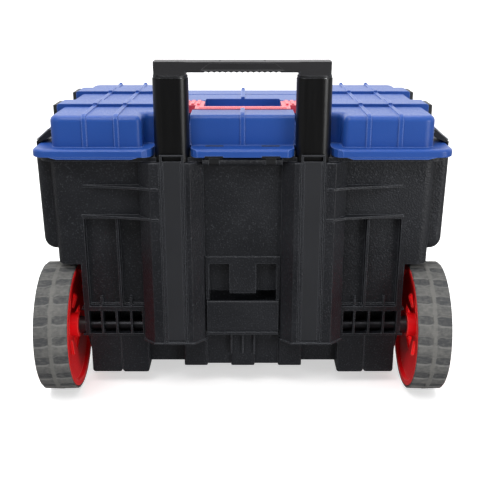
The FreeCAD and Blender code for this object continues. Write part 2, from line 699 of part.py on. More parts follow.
# ---- latches ------------------------------------------------------------------------------------
def make_front_latch(hand):
    """A lever that hangs from the rim and closes over the tub's catch."""
    x = hand * LATCH_X
    face = soft_block((x - 24, x + 24), (-DEPTH / 2, -204.6), (300, LATCH_Z + 3), 4, Vector(0, 1, 0))
    knuckle = rod(4.5, (x - 17.5, LATCH_PIN_Y, LATCH_Z), (x + 17.5, LATCH_PIN_Y, LATCH_Z))
    neck = block((x - 17.5, x + 17.5), (-206, LATCH_PIN_Y), (LATCH_Z - 4.5, LATCH_Z + 3))
    nose = block((x - 20, x + 20), (-206, -198.4), (306, 324))
    side = [(-DEPTH / 2, 300), (-DEPTH / 2, 308), (-204.6, 308), (-204.6, 293), (-208, 293)]
    pull = prism(side, x - 20, ("X", 40))
    latch = fuse([face, knuckle, neck, nose, pull])
    recess = soft_block((x - 16, x + 16), (-215, -DEPTH / 2 + 1.6), (312, 346), 3, Vector(0, 1, 0))
    bore = rod(2.0 + PIN_CLEAR, (x - 30, LATCH_PIN_Y, LATCH_Z), (x + 30, LATCH_PIN_Y, LATCH_Z))
    return cut(latch, [recess, bore])


def make_front_latch_pins():
    y, z = LATCH_PIN_Y, LATCH_Z
    return [rod(2.0, (x - 24, y, z), (x + 24, y, z)) for x in (-LATCH_X, LATCH_X)]


def make_side_latch():
    """A lever from the lid's side out over the rim, on the +X side."""
    px, pz = SIDE_PIN
    y0, y1 = SIDE_LEVER_YS
    x0, x1 = RIM_HALF + 0.6, RIM_HALF + 2.8
    face = [(px - 1, pz + 3.8), (px + 3.0, pz + 3.4), (x1, 351.4), (x1, 333), (x0 - 5.0, 333),
            (x0 - 5.0, 336), (x0, 336), (x0, 350.2), (x0 - 3.5, 351.0), (px - 1, pz - 5)]
    arm = prism(face, y0, ("Y", y1 - y0))
    knuckle = rod(3.8, (px, y0, pz), (px, y1, pz))
    slots = [block((px - 6, 262.0), (y - 2.9, y + 2.9), (pz - 14, pz + 6)) for y in SIDE_LATCH_YS]
    return cut(fuse([arm, knuckle]), slots + [rod(1.6 + PIN_CLEAR, (px, y0 - 5, pz), (px, y1 + 5, pz))])


def make_side_bail():
    """The bent wire that lies on a side latch, on the +X side."""
    px, pz = SIDE_PIN
    y0, y1 = SIDE_LEVER_YS[0] + 3.0, SIDE_LEVER_YS[1] - 3.0
    high, low = (px + 4.6, pz + 3.6), (RIM_HALF + 2.5, 353.3)
    legs = [rod(1.0, (high[0], y, high[1]), (low[0], y, low[1])) for y in (y0, y1)]
    cross = [rod(1.0, (p[0], y0, p[1]), (p[0], y1, p[1])) for p in (high, low)]
    balls = [Part.makeSphere(1.0, Vector(p[0], y, p[1])) for p in (high, low) for y in (y0, y1)]
    return fuse(legs + cross + balls)


def make_side_latch_pins():
    y0, y1 = SIDE_LEVER_YS[0] + 1.0, SIDE_LEVER_YS[1] - 1.0
    return both(rod(1.6, (SIDE_PIN[0], y0, SIDE_PIN[1]), (SIDE_PIN[0], y1, SIDE_PIN[1])))


# ---- wheels -------------------------------------------------------------------------------------
def turned(profile):
    """A solid of revolution about the axle, from (x, radius) points."""
    corners = [Vector(x, AXLE_Y, AXLE_Z + r) for x, r in profile]
    face = Part.Face(Part.makePolygon(corners + corners[:1]))
    return face.revolve(Vector(0, AXLE_Y, AXLE_Z), Vector(1, 0, 0), 360)


def make_tyre():
    x0, x1 = WHEEL_IN, WIDTH / 2
    return turned([(x0 + 0.5, FLANGE_R), (x0 + 0.8, WHEEL_R - 0.8), (x0 + 3, WHEEL_R), (x1 - 3, WHEEL_R),
                   (x1 - 0.8, WHEEL_R - 0.8), (x1, WHEEL_R - 3), (x1, HUB_R + 0.5), (x0 + 3.5, HUB_R + 0.5),
                   (x0 + 3.5, FLANGE_R)])


def make_hub():
    """A barrel with a dish on its inner side, small windows near the boss and spokes on the outside."""
    x0, x1 = WHEEL_IN, WIDTH / 2
    barrel = turned([(x0 + 0.5, FLANGE_R), (x0 + 3.5, FLANGE_R), (x0 + 3.5, HUB_R + 0.5),
                     (x1 - 1, HUB_R + 0.5), (x1 - 1, HUB_R - 3), (x0 + 6, HUB_R - 4), (x0 + 0.5, HUB_R - 1)])
    dish = turned([(x0 + 14, BOSS_R - 1), (x0 + 5.5, HUB_R - 3), (x0 + 9, HUB_R - 3),
                   (x0 + 17.5, BOSS_R - 1)])
    boss = turned([(x0 + 1.4, BUSH_R), (x0 + 1.4, BOSS_R), (x1 - 8, BOSS_R), (x1 - 8, BUSH_R)])
    ring = turned([(x0, HUB_WINDOW[0]), (x0, HUB_WINDOW[1]), (x1, HUB_WINDOW[1]), (x1, HUB_WINDOW[0])])
    spokes = []
    windows = []
    for i in range(6):
        ys = (AXLE_Y - 3, AXLE_Y + 3)
        spoke = block((x0 + 15.5, x0 + 36), ys, (AXLE_Z + BOSS_R - 1, AXLE_Z + 45))
        spoke = spoke.fuse(block((x0 + 12, x0 + 36), ys, (AXLE_Z + 45, AXLE_Z + HUB_R - 1)))
        spoke.rotate(Vector(0, AXLE_Y, AXLE_Z), Vector(1, 0, 0), i * 60.0)
        spokes.append(spoke)
        sector = [(AXLE_Y, AXLE_Z), (AXLE_Y + 34, AXLE_Z + 100), (AXLE_Y - 34, AXLE_Z + 100)]
        wedge = prism(sector, x0, ("X", TYRE_W))
        window = ring.common(wedge)
        window.rotate(Vector(0, AXLE_Y, AXLE_Z), Vector(1, 0, 0), i * 60.0 + 30.0)
        windows.append(window)
    return fuse([cut(dish, windows), barrel, boss] + spokes)


def make_hub_cap():
    """The snap-in cover over the axle's end."""
    x1 = WIDTH / 2
    cap = turned([(x1 - 8, 13.0), (x1 - 8, BOSS_R), (x1 - 2, BOSS_R), (x1, 13.0), (x1, 0.0), (x1 - 1.6, 0.0),
                  (x1 - 1.6, 13.0)])
    return cap


def make_bush():
    return turned([(WHEEL_IN + 1.4, AXLE_R + PIN_CLEAR), (WHEEL_IN + 1.4, BUSH_R), (WIDTH / 2 - 8, BUSH_R),
                   (WIDTH / 2 - 8, AXLE_R + PIN_CLEAR)])


def make_axle():
    x = WIDTH / 2 - 3.0
    return rod(AXLE_R, (-x, AXLE_Y, AXLE_Z), (x, AXLE_Y, AXLE_Z))


def make_push_nuts():
    x = WIDTH / 2 - 7.6
    return both(turned([(x, AXLE_R), (x, 11.5), (x + 2.4, 10.0), (x + 2.4, AXLE_R)]))


def make_spacers():
    return both(turned([(TUB_SIDE_IN + 0.1, AXLE_R), (TUB_SIDE_IN + 0.1, 12.0), (WHEEL_IN + 1.0, 12.0),
                        (WHEEL_IN + 1.0, AXLE_R)]))


# ---- pull handle --------------------------------------------------------------------------------
def make_sleeve():
    return pipe(SLEEVE, 2.0, (SLEEVE_FOOT, SLEEVE_TOP))


def make_sleeve_plugs():
    return both(tube_bar(shrink(SLEEVE, 2.05), (SLEEVE_FOOT, MID_FOOT - CLEAR)))


def make_strip():
    """The strip down the back of a column, with the loop at its head."""
    y0, y1 = COLUMN_REAR - 1.6, COLUMN_REAR - 0.2
    x = TUBE_X
    strip = block((x - STRIP_HALF, x + STRIP_HALF), (y0, y1), (COLUMN_FOOT + 6, COLUMN_TOP + 2))
    outer = block((x - 15.5, x + 15.5), (y0 - 1.6, y1), (COLUMN_TOP, COLUMN_TOP + 10.5))
    inner = block((x - 12.5, x + 12.5), (y0 - 3, y1 + 1), (COLUMN_TOP + 2, COLUMN_TOP + 8.4))
    return fuse([strip, outer.cut(inner)])


def make_mid_tube():
    return pipe(MID_TUBE, 1.6, (MID_FOOT + 8, MID_TOP))


def make_mid_feet():
    """Guide feet under the middle tubes."""
    foot = tube_bar(MID_TUBE, (MID_FOOT, MID_FOOT + 8))
    foot = foot.cut(tube_bar(shrink(MID_TUBE, 6.0), (MID_FOOT - 1, MID_FOOT + 9)))
    return both(foot)


def make_mid_collars():
    """Collars on the middle tubes that rest over the sleeves' mouths."""
    ring = tube_bar((SLEEVE[0] - 1.6, SLEEVE[1] - 1.6, SLEEVE[2] - 0.8), COLLAR_ZS)
    mouth = tube_bar((MID_TUBE[0] - 3.2, MID_TUBE[1] - 3.2, MID_TUBE[2] - 1.6), (400, 460))
    seat = tube_bar((MID_TUBE[0] + 0.1, MID_TUBE[1] + 0.1, MID_TUBE[2]), (400, MID_TOP))
    return both(ring.cut([mouth, seat]))


def make_inner_tube():
    return pipe(INNER_TUBE, 1.5, (INNER_FOOT + 8, GRIP_END + 7))


def make_inner_feet():
    """Feet under the inner tubes, bored for the lock pins and the rods."""
    foot = tube_bar(INNER_TUBE, (INNER_FOOT, INNER_FOOT + 8))
    pin_bore = rod(LOCK_R + PIN_CLEAR, (TUBE_X, TUBE_Y - 3.2, LOCK_Z), (TUBE_X, TUBE_Y + 20, LOCK_Z))
    rod_bore = rod(2.4, (TUBE_X, ROD_Y, LOCK_Z - 1), (TUBE_X, ROD_Y, INNER_FOOT + 9))
    return both(cut(foot, [pin_bore, rod_bore]))


def make_lock_pins():
    rear = TUBE_Y + INNER_TUBE[1] / 2
    return both(rod(LOCK_R, (TUBE_X, TUBE_Y + 0.5, LOCK_Z), (TUBE_X, rear, LOCK_Z)))


def grip_solid():
    y0, y1 = GRIP_YS
    beam = soft_block((-GRIP_HALF, GRIP_HALF), (y0, y1), (GRIP_BOTTOM + 1.5, HEIGHT), 1.2, Vector(1, 0, 0))
    ends = both(soft_block((71.0, GRIP_HALF), (y0, y1), (GRIP_END, HEIGHT), 1.2))
    web = [soft_block((-80, 80), (y0, y1), (GRIP_BOTTOM, HEIGHT - 5), 2.0, Vector(1, 0, 0))]
    return fuse([beam] + ends + web)


def grip_hollow():
    y0, y1 = GRIP_YS
    middle = block((-104, 104), (y0 + 3, y1 - 3), (GRIP_BOTTOM + GRIP_FLOOR, HEIGHT - 2.6))
    width, depth, radius = INNER_TUBE
    feet = both(tube_bar((width + 0.1, depth + 0.1, radius), (GRIP_END - 1, GRIP_END + 10)))
    slot = block((-29, 29), (TUBE_Y - 6.4, TUBE_Y + 6.4), (HEIGHT - 5, HEIGHT + 2))
    return [middle, slot] + feet


def finger_grooves():
    """The scallops under the grip."""
    grooves = []
    for i in range(14):
        x = -45.5 + i * 7.0
        z = GRIP_BOTTOM - 2.9
        grooves.append(rod(4.0, (x, GRIP_YS[0] - 1, z), (x, GRIP_YS[1] + 1, z)))
    return grooves


def make_grip_shell(rear):
    """Half of the grip, split along its length."""
    solid = cut(grip_solid(), grip_hollow() + finger_grooves())
    y = TUBE_Y
    half = block((-200, 200), (y, y + 60) if rear else (y - 60, y), (400, 500))
    panel = prism([(-52, GRIP_BOTTOM + 3), (52, GRIP_BOTTOM + 3), (41, HEIGHT - 2.5), (-41, HEIGHT - 2.5)],
                  GRIP_YS[1] - 0.6 if rear else GRIP_YS[0] - 2.4, ("Y", 3.0))
    solid = solid.cut(panel)
    z = HEIGHT - 7.5
    screws = [] if rear else [rod(2.6, (x, 120, z), (x, 129.6, z)) for x in GRIP_SCREW_XS]
    shell = solid.common(half)
    return shell.cut(screws) if screws else shell


def make_grip_screws():
    y, z = GRIP_YS[0], HEIGHT - 7.5
    return [rod(2.5, (x, y + 0.6, z), (x, y + 2.1, z)) for x in GRIP_SCREW_XS]


def make_button():
    """The release button with the cross bar that pushes both rods."""
    y = TUBE_Y
    cap = soft_block((-28.5, 28.5), (y - 5.9, y + 5.9), (HEIGHT - 6, HEIGHT), 4)
    cap = round_top(cap, 1.5)
    bar = block((-97, 97), (ROD_Y - 2.4, ROD_Y + 2.0), (BUTTON_BAR_Z, HEIGHT - 3.4))
    return fuse([cap, bar])


def make_release_rods():
    return both(rod(1.6, (TUBE_X, ROD_Y, LOCK_Z + 3.6), (TUBE_X, ROD_Y, BUTTON_BAR_Z)))


def make_button_springs():
    """Short return springs between the cross bar and the grip's floor."""
    springs = []
    for x in (-45.0, 45.0):
        z0, z1 = GRIP_BOTTOM + GRIP_FLOOR + 0.25, BUTTON_BAR_Z - 0.25
        helix = Part.makeHelix((z1 - z0) / 2.0, z1 - z0, 1.6)
        wire = Part.Wire(helix.Edges)
        start = Vector(1.6, 0, 0)
        section = Part.Wire([Part.makeCircle(0.25, start, Vector(0, 1, 0))])
        coil = wire.makePipeShell([section], True, True)
        coil.translate(Vector(x, ROD_Y, z0))
        springs.append(coil)
    return springs


# ---- small parts --------------------------------------------------------------------------------
def make_foot_pads():
    pads = []
    for side in (-1, 1):
        pad = tapered((24, -166, -130, 0), (26.5, -167.5, -128.5, 6), 5)
        pad.translate(Vector(side * 170, 0, 0))
        pads.append(pad)
    return pads


PARTS = {
    "tub": make_tub,
    "foot_pads": make_foot_pads,
    "hinge_pins": make_hinge_pins,
    "sleeve_left": lambda: mirrored(make_sleeve()),
    "sleeve_right": make_sleeve,
    "sleeve_plugs": make_sleeve_plugs,
    "column_strip_left": lambda: mirrored(make_strip()),
    "column_strip_right": make_strip,
    "axle": make_axle,
    "axle_spacers": make_spacers,
    "axle_push_nuts": make_push_nuts,
    "tyre_left": lambda: mirrored(make_tyre()),
    "tyre_right": make_tyre,
    "hub_left": lambda: mirrored(make_hub()),
    "hub_right": make_hub,
    "hub_cap_left": lambda: mirrored(make_hub_cap()),
    "hub_cap_right": make_hub_cap,
    "wheel_bush_left": lambda: mirrored(make_bush()),
    "wheel_bush_right": make_bush,
    "lid": make_lid,
    "lid_seal": lambda: seal_ring(-0.1),
    "band_end_caps": make_end_caps,
    "hinge_clip_left": lambda: make_hinge_clip(-1),
    "hinge_clip_right": lambda: make_hinge_clip(1),
    "carry_handle": make_carry_handle,
    "carry_handle_pins": make_carry_pins,
    "front_latch_left": lambda: make_front_latch(-1),
    "front_latch_right": lambda: make_front_latch(1),
    "front_latch_pins": make_front_latch_pins,
    "side_latch_left": lambda: mirrored(make_side_latch()),
    "side_latch_right": make_side_latch,
    "side_bail_left": lambda: mirrored(make_side_bail()),
    "side_bail_right": make_side_bail,
    "side_latch_pins": make_side_latch_pins,
    "mid_tube_left": lambda: mirrored(make_mid_tube()),
    "mid_tube_right": make_mid_tube,
    "mid_tube_feet": make_mid_feet,
    "mid_tube_collars": make_mid_collars,
    "inner_tube_left": lambda: mirrored(make_inner_tube()),
    "inner_tube_right": make_inner_tube,
    "inner_tube_feet": make_inner_feet,
    "grip_rear_shell": lambda: make_grip_shell(True),
    "grip_front_shell": lambda: make_grip_shell(False),
    "grip_screws": make_grip_screws,
    "release_button": make_button,
    "release_rods": make_release_rods,
    "button_springs": make_button_springs,
    "lock_pins": make_lock_pins,
}


def main():
    os.makedirs("parts", exist_ok=True)
    for name, make in PARTS.items():
        made = make()
        shape = Part.makeCompound(made) if isinstance(made, list) else made
        shape.exportStep(f"parts/{name}.step")
        box = shape.BoundBox
        print(f"{name:22s} solids {len(shape.Solids):2d} valid {shape.isValid()} "
              f"volume {shape.Volume / 1000:9.2f} cm3 "
              f"X {box.XMin:.1f}..{box.XMax:.1f} Y {box.YMin:.1f}..{box.YMax:.1f} "
              f"Z {box.ZMin:.1f}..{box.ZMax:.1f}")


main()
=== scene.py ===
import json
import math

import bmesh
import bpy
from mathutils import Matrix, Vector


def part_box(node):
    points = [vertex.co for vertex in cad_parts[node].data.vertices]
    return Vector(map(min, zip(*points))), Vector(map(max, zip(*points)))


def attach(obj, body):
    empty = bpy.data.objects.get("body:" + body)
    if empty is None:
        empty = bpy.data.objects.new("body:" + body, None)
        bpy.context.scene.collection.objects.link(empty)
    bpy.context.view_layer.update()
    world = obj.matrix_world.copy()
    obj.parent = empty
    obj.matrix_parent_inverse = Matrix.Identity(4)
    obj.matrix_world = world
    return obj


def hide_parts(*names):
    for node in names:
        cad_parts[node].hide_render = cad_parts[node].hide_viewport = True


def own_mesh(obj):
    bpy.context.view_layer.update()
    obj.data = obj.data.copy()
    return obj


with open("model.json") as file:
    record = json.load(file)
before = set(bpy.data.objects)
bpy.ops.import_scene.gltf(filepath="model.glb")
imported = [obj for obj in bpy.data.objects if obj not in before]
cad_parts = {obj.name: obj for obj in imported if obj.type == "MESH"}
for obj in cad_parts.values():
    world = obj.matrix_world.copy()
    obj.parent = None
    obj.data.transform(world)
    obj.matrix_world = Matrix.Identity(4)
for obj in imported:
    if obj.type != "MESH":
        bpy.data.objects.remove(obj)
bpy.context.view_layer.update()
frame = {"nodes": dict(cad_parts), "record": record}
scene = bpy.context.scene
scene.view_settings.view_transform = "Standard"

MM = 0.001

# camera
CAMERA_PLACE = (-0.0045, 1.159, 0.553)
CAMERA_PITCH = math.radians(18.40)       # below the horizon
LENS, SENSOR = 58.2, 36.0

# lights: place, target, size and watts
LIGHTS = {
    "key_top": ((0.2, -0.5, 2.4), (0, 0, 0.3), (2.4, 1.6), 34),
    "key_rear": ((0.35, 1.35, 2.0), (0, 0.12, 0.2), (1.5, 0.9), 26),
    "strip_right": ((-1.35, 1.30, 0.50), (0, 0.1, 0.30), (0.80, 0.9), 13),
    "fill_left": ((1.6, 1.9, 1.0), (0, 0.1, 0.2), (0.7, 1.0), 4),
}
FAR_STRENGTH, NEAR_STRENGTH = 1.35, 0.13  # backdrop beyond the latch side and behind the camera
BACKDROP_SPAN = (-0.6, 0.7)               # between the two, along Y of the direction
FLOOR_HALF = 60.0
FLOOR_GLOW = (0.54, 0.22)                 # emission to the camera and to other rays
FLOOR_TONE = (0.80, 0.36)                 # reflectance to the camera and to other rays
MIRROR_LOSS = 0.75                        # share of the second level lost where a piece mirrors the floor

# tread
LUGS = 20                 # lugs round each half of the tread
LUG_STEPS = 32            # mesh steps round one lug and its gap
COLUMNS = 22              # mesh steps across the tread
BAND_HALF = 0.10          # half width of the smooth middle band, as a share of the half tread
GAP_DEPTH = 1.9 * MM
LUG_CROWN = 0.5 * MM      # how far a lug falls off from its middle to its ends
LUG_LEAN = (0.07, -0.05)  # of the outer and the inner row towards the shoulder, in lug pitches
LUG_REACH = 0.235         # half length of a lug, in lug pitches
LUG_SPREAD = 0.030        # added at the shoulder
FLARE = (0.10, 0.30)      # longer still next to the band: how much, and over what share of the half tread
FLANK = 0.04              # a lug's sloped end, in lug pitches
RIDGE = 0.05              # reach of the painted highlight line along that end, in lug pitches
WEB = 0.06                # slope between the band and the gaps, as a share of the half tread
GAP_RISE = 0.62           # depth of a gap beside the band, as a share of its depth at the shoulder
SHADE_STEP = 12.9898      # turns the lug's number into an uneven shade


# ---- camera, lights and floor ----------------------------------------------------------------------
def add_camera():
    """Behind the box, a little above it, looking down at it."""
    data = bpy.data.cameras.new("camera")
    data.lens = LENS
    data.sensor_width = SENSOR
    cam = bpy.data.objects.new("camera", data)
    cam.location = CAMERA_PLACE
    look = Vector((0.0, -math.cos(CAMERA_PITCH), -math.sin(CAMERA_PITCH)))
    cam.rotation_euler = look.to_track_quat("-Z", "Y").to_euler()
    scene.collection.objects.link(cam)
    scene.camera = cam


def area_light(name, place, target, size, power):
    data = bpy.data.lights.new(name, "AREA")
    data.shape = "RECTANGLE"
    data.size, data.size_y = size
    data.energy = power
    light = bpy.data.objects.new(name, data)
    light.location = place
    aim = Vector(target) - Vector(place)
    light.rotation_euler = aim.to_track_quat("-Z", "Y").to_euler()
    scene.collection.objects.link(light)


def add_world():
    """A pale studio that lights the far side more than the camera's side, on an even white backdrop."""
    world = bpy.data.worlds.new("studio")
    world.use_nodes = True
    tree = world.node_tree
    nodes, links = tree.nodes, tree.links
    background = nodes["Background"]
    coords = nodes.new("ShaderNodeTexCoord")
    split = nodes.new("ShaderNodeSeparateXYZ")
    links.new(coords.outputs["Generated"], split.inputs[0])
    ramp = nodes.new("ShaderNodeMapRange")
    ramp.inputs["From Min"].default_value, ramp.inputs["From Max"].default_value = BACKDROP_SPAN
    ramp.inputs["To Min"].default_value = FAR_STRENGTH
    ramp.inputs["To Max"].default_value = NEAR_STRENGTH
    links.new(split.outputs["Y"], ramp.inputs["Value"])
    plain = nodes.new("ShaderNodeMapRange")
    links.new(nodes.new("ShaderNodeLightPath").outputs["Is Camera Ray"], plain.inputs["Value"])
    links.new(ramp.outputs[0], plain.inputs["To Min"])
    plain.inputs["To Max"].default_value = 1.0
    links.new(plain.outputs[0], background.inputs["Strength"])
    background.inputs["Color"].default_value = (1.0, 1.0, 1.0, 1.0)
    scene.world = world


def add_floor():
    """Pale paper. Black plastic mirrors it darker, as in a studio where the paper ends in the dark."""
    bm = bmesh.new()
    h = FLOOR_HALF
    corners = [bm.verts.new((x, y, 0.0)) for x, y in ((-h, -h), (h, -h), (h, h), (-h, h))]
    bm.faces.new(corners)
    mesh = bpy.data.meshes.new("floor")
    bm.to_mesh(mesh)
    bm.free()
    floor = bpy.data.objects.new("floor", mesh)
    scene.collection.objects.link(floor)
    material = bpy.data.materials.new("floor_paper")
    material.use_nodes = True
    tree = material.node_tree
    shader = tree.nodes["Principled BSDF"]
    shader.inputs["Roughness"].default_value = 0.30
    shader.inputs["Specular IOR Level"].default_value = 0.2
    shader.inputs["Emission Color"].default_value = (1.0, 1.0, 1.0, 1.0)
    path = tree.nodes.new("ShaderNodeLightPath")
    for socket, (seen, bounced) in (("Emission Strength", FLOOR_GLOW), ("Base Color", FLOOR_TONE)):
        level = tree.nodes.new("ShaderNodeMapRange")
        level.inputs["To Min"].default_value = bounced
        level.inputs["To Max"].default_value = seen
        tree.links.new(path.outputs["Is Camera Ray"], level.inputs["Value"])
        mirror = tree.nodes.new("ShaderNodeMath")
        mirror.operation = "MULTIPLY_ADD"
        tree.links.new(path.outputs["Is Glossy Ray"], mirror.inputs[0])
        mirror.inputs[1].default_value = -MIRROR_LOSS * bounced
        tree.links.new(level.outputs[0], mirror.inputs[2])
        tree.links.new(mirror.outputs[0], shader.inputs[socket])
    mesh.materials.append(material)


# ---- materials -------------------------------------------------------------------------------------
class Look:
    """Builds one procedural material, node by node. Lengths are metres in the object's own space."""

    def __init__(self, name, roughness, metallic=0.0, specular=0.5):
        self.material = bpy.data.materials.new(name)
        self.material.use_nodes = True
        self.tree = self.material.node_tree
        self.shader = self.tree.nodes["Principled BSDF"]
        self.shader.inputs["Roughness"].default_value = roughness
        self.shader.inputs["Metallic"].default_value = metallic
        self.shader.inputs["Specular IOR Level"].default_value = specular
        self.coords = self.node("ShaderNodeTexCoord").outputs["Object"]
        self.normal = None

    def node(self, kind, **settings):
        made = self.tree.nodes.new(kind)
        for key, value in settings.items():
            setattr(made, key, value)
        return made

    def link(self, a, b):
        self.tree.links.new(a, b)

    def noise(self, scale, detail=2.0, stretch=None):
        tex = self.node("ShaderNodeTexNoise")
        tex.inputs["Scale"].default_value = scale
        tex.inputs["Detail"].default_value = detail
        source = self.coords
        if stretch is not None:
            mapping = self.node("ShaderNodeMapping")
            mapping.inputs["Scale"].default_value = stretch
            self.link(self.coords, mapping.inputs["Vector"])
            source = mapping.outputs[0]
        self.link(source, tex.inputs["Vector"])
        return tex.outputs["Fac"]

    def cells(self, scale, smooth=0.4):
        tex = self.node("ShaderNodeTexVoronoi", feature="SMOOTH_F1")
        tex.inputs["Scale"].default_value = scale
        tex.inputs["Smoothness"].default_value = smooth
        self.link(self.coords, tex.inputs["Vector"])
        return tex.outputs["Distance"]

    def remap(self, value, low, high, to_low, to_high):
        node = self.node("ShaderNodeMapRange")
        node.inputs["From Min"].default_value = low
        node.inputs["From Max"].default_value = high
        node.inputs["To Min"].default_value = to_low
        node.inputs["To Max"].default_value = to_high
        self.link(value, node.inputs["Value"])
        return node.outputs[0]

    def mix(self, factor, a, b):
        node = self.node("ShaderNodeMix", data_type="RGBA")
        self.link(factor, node.inputs["Factor"])
        for socket, value in ((node.inputs["A"], a), (node.inputs["B"], b)):
            if isinstance(value, tuple):
                socket.default_value = (*value, 1.0)
            else:
                self.link(value, socket)
        return node.outputs["Result"]

    def colour(self, value):
        self.link(value, self.shader.inputs["Base Color"])

    def rough(self, value):
        self.link(value, self.shader.inputs["Roughness"])

    def soft_edges(self, radius):
        node = self.node("ShaderNodeBevel", samples=4)
        node.inputs["Radius"].default_value = radius
        self.normal = node.outputs["Normal"]

    def bump(self, height, strength, distance):
        node = self.node("ShaderNodeBump")
        node.inputs["Strength"].default_value = strength
        node.inputs["Distance"].default_value = distance
        self.link(height, node.inputs["Height"])
        if self.normal is not None:
            self.link(self.normal, node.inputs["Normal"])
        self.normal = node.outputs["Normal"]

    def edges(self, radius):
        """1 along the edges within that radius and 0 on flat faces: the mask for a painted highlight and
        wear along corners.
        """
        rounded = self.node("ShaderNodeBevel", samples=4)
        rounded.inputs["Radius"].default_value = radius
        geometry = self.node("ShaderNodeNewGeometry")
        aligned = self.node("ShaderNodeVectorMath", operation="DOT_PRODUCT")
        self.link(rounded.outputs["Normal"], aligned.inputs[0])
        self.link(geometry.outputs["Normal"], aligned.inputs[1])
        return self.remap(aligned.outputs["Value"], 0.995, 0.90, 0.0, 1.0)

    def done(self):
        self.link(self.normal, self.shader.inputs["Normal"])
        return self.material


def moulded(name, dark, pale, roughness, grain, depth, edge=0.0008, specular=0.5, wear_and_highlight=None):
    """Injection moulded plastic with a fine eroded grain, and where a colour is given, a painted highlight
    and wear along its edges.
    """
    look = Look(name, roughness, specular=specular)
    look.soft_edges(edge)
    broad = look.noise(9.0, 3.0)
    fine = look.noise(grain * 0.6, 2.0)
    tone = look.mix(look.remap(broad, 0.35, 0.65, 0.0, 1.0), dark, pale)
    look.bump(look.cells(grain), 0.5, depth)
    look.bump(fine, 0.35, depth)
    look.rough(look.remap(fine, 0.3, 0.7, roughness - 0.06, roughness + 0.08))
    if wear_and_highlight is not None:
        # painted highlight and wear along the edges
        tone = look.mix(look.edges(edge * 1.5), tone, wear_and_highlight)
    look.colour(tone)
    return look.done()


def pebbled(name, dark, pale, wear_and_highlight):
    """Black plastic with a leathery grain: small raised pebbles, in patches, with painted glints on
    scattered crests and a painted highlight and wear along edges.
    """
    look = Look(name, 0.42, specular=0.40)
    look.soft_edges(0.0009)
    patches = look.noise(11.0, 4.0)
    pebbles = look.cells(430.0, 0.25)
    grit = look.noise(900.0, 3.0)
    look.bump(pebbles, 0.9, 0.00045)
    look.bump(grit, 0.5, 0.0002)
    look.rough(look.remap(patches, 0.35, 0.65, 0.36, 0.52))
    tone = look.mix(look.remap(patches, 0.35, 0.65, 0.0, 1.0), dark, pale)
    # painted glints: scattered specks tinted towards the edge colour
    crest_glints = look.remap(look.noise(520.0, 2.0), 0.56, 0.74, 0.0, 0.55)
    tone = look.mix(crest_glints, tone, wear_and_highlight)
    # painted highlight and wear along edges
    look.colour(look.mix(look.edges(0.0014), tone, wear_and_highlight))
    return look.done()


def metal(name, colour, roughness):
    """Drawn metal, finely streaked along its length."""
    look = Look(name, roughness, metallic=1.0)
    look.soft_edges(0.0004)
    lines = look.noise(1.0, 3.0, (400.0, 400.0, 8.0))
    look.rough(look.remap(lines, 0.3, 0.7, roughness - 0.08, roughness + 0.10))
    look.bump(lines, 0.08, 0.0002)
    pale = tuple(min(1.0, c * 1.08) for c in colour)
    look.colour(look.mix(look.noise(30.0), colour, pale))
    return look.done()


def sleeve_finish():
    """Painted tube, black and half glossy, with faint scuffs along it."""
    look = Look("sleeve_black", 0.3, specular=0.4)
    scuffs = look.noise(1.0, 4.0, (500.0, 500.0, 14.0))
    look.rough(look.remap(scuffs, 0.35, 0.75, 0.28, 0.38))
    look.bump(look.noise(60.0, 2.0), 0.05, 0.0003)
    look.colour(look.mix(look.noise(14.0), (0.0012, 0.0012, 0.0014), (0.0025, 0.0025, 0.0028)))
    return look.done()


def tyre_finish():
    """Dusty grey rubber with dry scuffs; painted light makes it paler on the band and lugs, with a painted
    highlight along the lugs' ends, and painted shade darkens the gaps.
    """
    look = Look("tyre", 0.85, specular=0.3)
    look.soft_edges(0.0005)
    # the tread's tone: painted shade in the gaps, painted light on the lugs and band
    relief_shade = look.node("ShaderNodeAttribute", attribute_name="relief_shade").outputs["Fac"]
    dust = look.noise(170.0, 6.0)
    uneven = look.node("ShaderNodeMath", operation="ADD")
    look.link(relief_shade, uneven.inputs[0])
    look.link(look.remap(dust, 0.3, 0.7, -0.30, 0.30), uneven.inputs[1])
    raised = look.remap(uneven.outputs[0], 0.0, 1.0, 0.0, 1.0)
    tone = look.mix(raised, (0.062, 0.064, 0.067), (0.162, 0.160, 0.152))
    scuffs = look.noise(1.0, 4.0, (120.0, 500.0, 500.0))
    tone = look.mix(look.remap(scuffs, 0.50, 0.75, 0.0, 0.30), tone, (0.24, 0.235, 0.22))
    # painted highlight: a pale line along each lug's end
    ridge_highlight = look.node("ShaderNodeAttribute", attribute_name="ridge_highlight").outputs["Fac"]
    tone = look.mix(look.remap(ridge_highlight, 0.0, 1.0, 0.0, 0.6), tone, (0.27, 0.265, 0.25))
    look.bump(look.noise(900.0, 3.0), 0.4, 0.0003)
    look.colour(tone)
    return look.done()


BLACK_EDGE = (0.070, 0.074, 0.084)       # black plastic edges and pebble crests: painted highlight and wear
